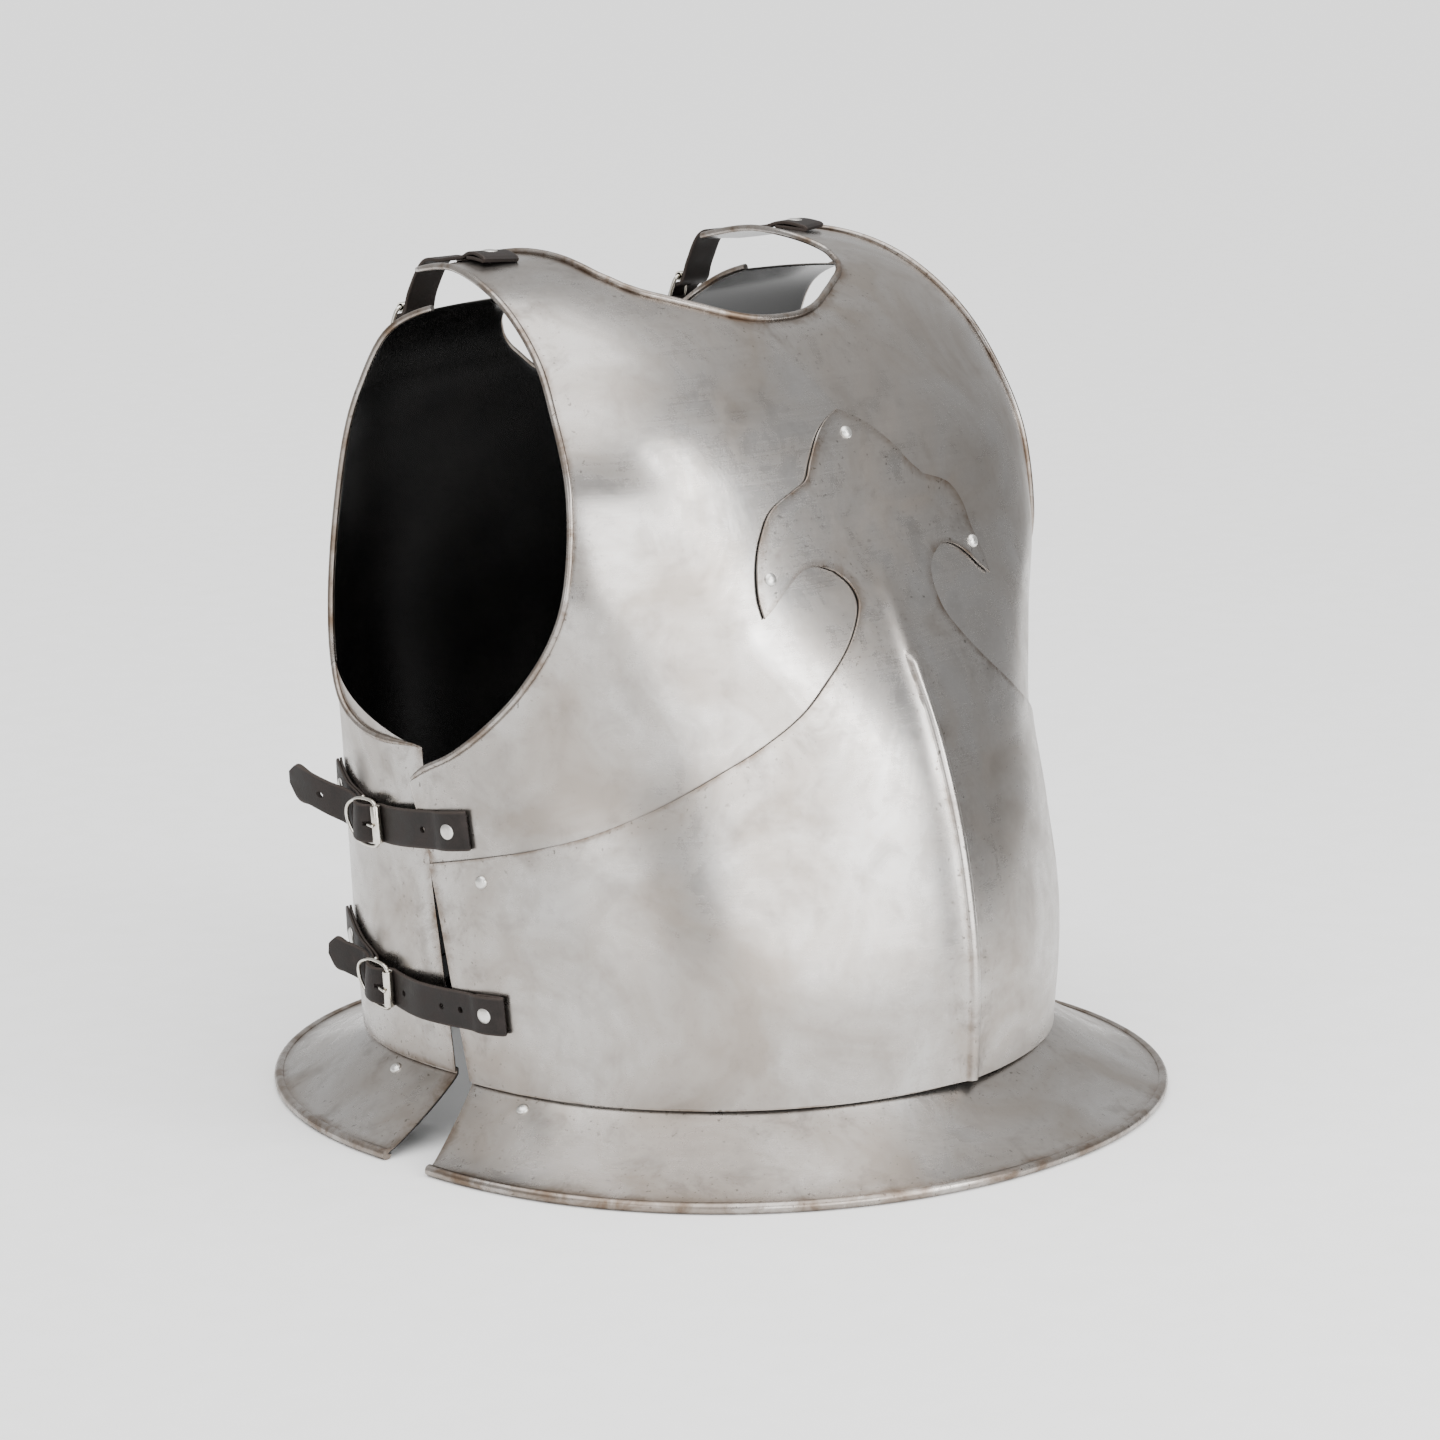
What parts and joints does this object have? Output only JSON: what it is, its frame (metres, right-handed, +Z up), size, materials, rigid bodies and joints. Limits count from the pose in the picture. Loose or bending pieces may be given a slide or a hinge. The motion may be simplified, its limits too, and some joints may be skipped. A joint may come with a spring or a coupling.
{
  "type": "steel breastplate with back plate and skirts",
  "caption": "Plate armour cuirass: breastplate with a trefoil-topped lower plate, back plate, flared skirts, and buckled leather side and shoulder straps.",
  "frame": {"origin": "on the ground in the middle of the footprint of the two skirts", "axes": "+Z up, the breastplate faces -Y, +X is the wearer's left"},
  "size_m": [0.4578, 0.4774, 0.4463],
  "materials": {
    "steel": "lightly polished mild steel with faint tarnish; gloss black paint inside",
    "nickel": "polished nickel plate",
    "leather": "smooth dark brown-black"
  },
  "bodies": {
    "root": {"trefoil_rivet_top": "nickel", "trefoil_rivet_right": "nickel", "trefoil_rivet_left": "nickel", "lower_plate_rivet_right": "nickel", "lower_plate_rivet_left": "nickel", "front_skirt_rivet_right": "nickel", "front_skirt_rivet_left": "nickel", "back_skirt_rivet_right": "nickel", "back_skirt_rivet_left": "nickel", "upper_strap_right": "leather", "upper_strap_left": "leather", "upper_chape_right": "leather", "upper_chape_left": "leather", "upper_buckle_right": "nickel", "upper_buckle_left": "nickel", "upper_roller_right": "nickel", "upper_roller_left": "nickel", "upper_tongue_right": "nickel", "upper_tongue_left": "nickel", "upper_strap_rivet_right": "nickel", "upper_strap_rivet_left": "nickel", "upper_chape_rivet_right": "nickel", "upper_chape_rivet_left": "nickel", "lower_strap_right": "leather", "lower_strap_left": "leather", "lower_chape_right": "leather", "lower_chape_left": "leather", "lower_buckle_right": "nickel", "lower_buckle_left": "nickel", "lower_roller_right": "nickel", "lower_roller_left": "nickel", "lower_tongue_right": "nickel", "lower_tongue_left": "nickel", "lower_strap_rivet_right": "nickel", "lower_strap_rivet_left": "nickel", "lower_chape_rivet_right": "nickel", "lower_chape_rivet_left": "nickel", "shoulder_strap_right": "leather", "shoulder_strap_left": "leather", "shoulder_chape_right": "leather", "shoulder_chape_left": "leather", "shoulder_buckle_right": "nickel", "shoulder_buckle_left": "nickel", "shoulder_roller_right": "nickel", "shoulder_roller_left": "nickel", "shoulder_tongue_right": "nickel", "shoulder_tongue_left": "nickel", "shoulder_strap_rivet_right": "nickel", "shoulder_strap_rivet_left": "nickel", "shoulder_chape_rivet_right": "nickel", "shoulder_chape_rivet_left": "nickel", "front_plate": "steel", "lower_plate": "steel", "back_plate": "steel", "front_skirt": "steel", "back_skirt": "steel"}
  },
  "joints": []
}
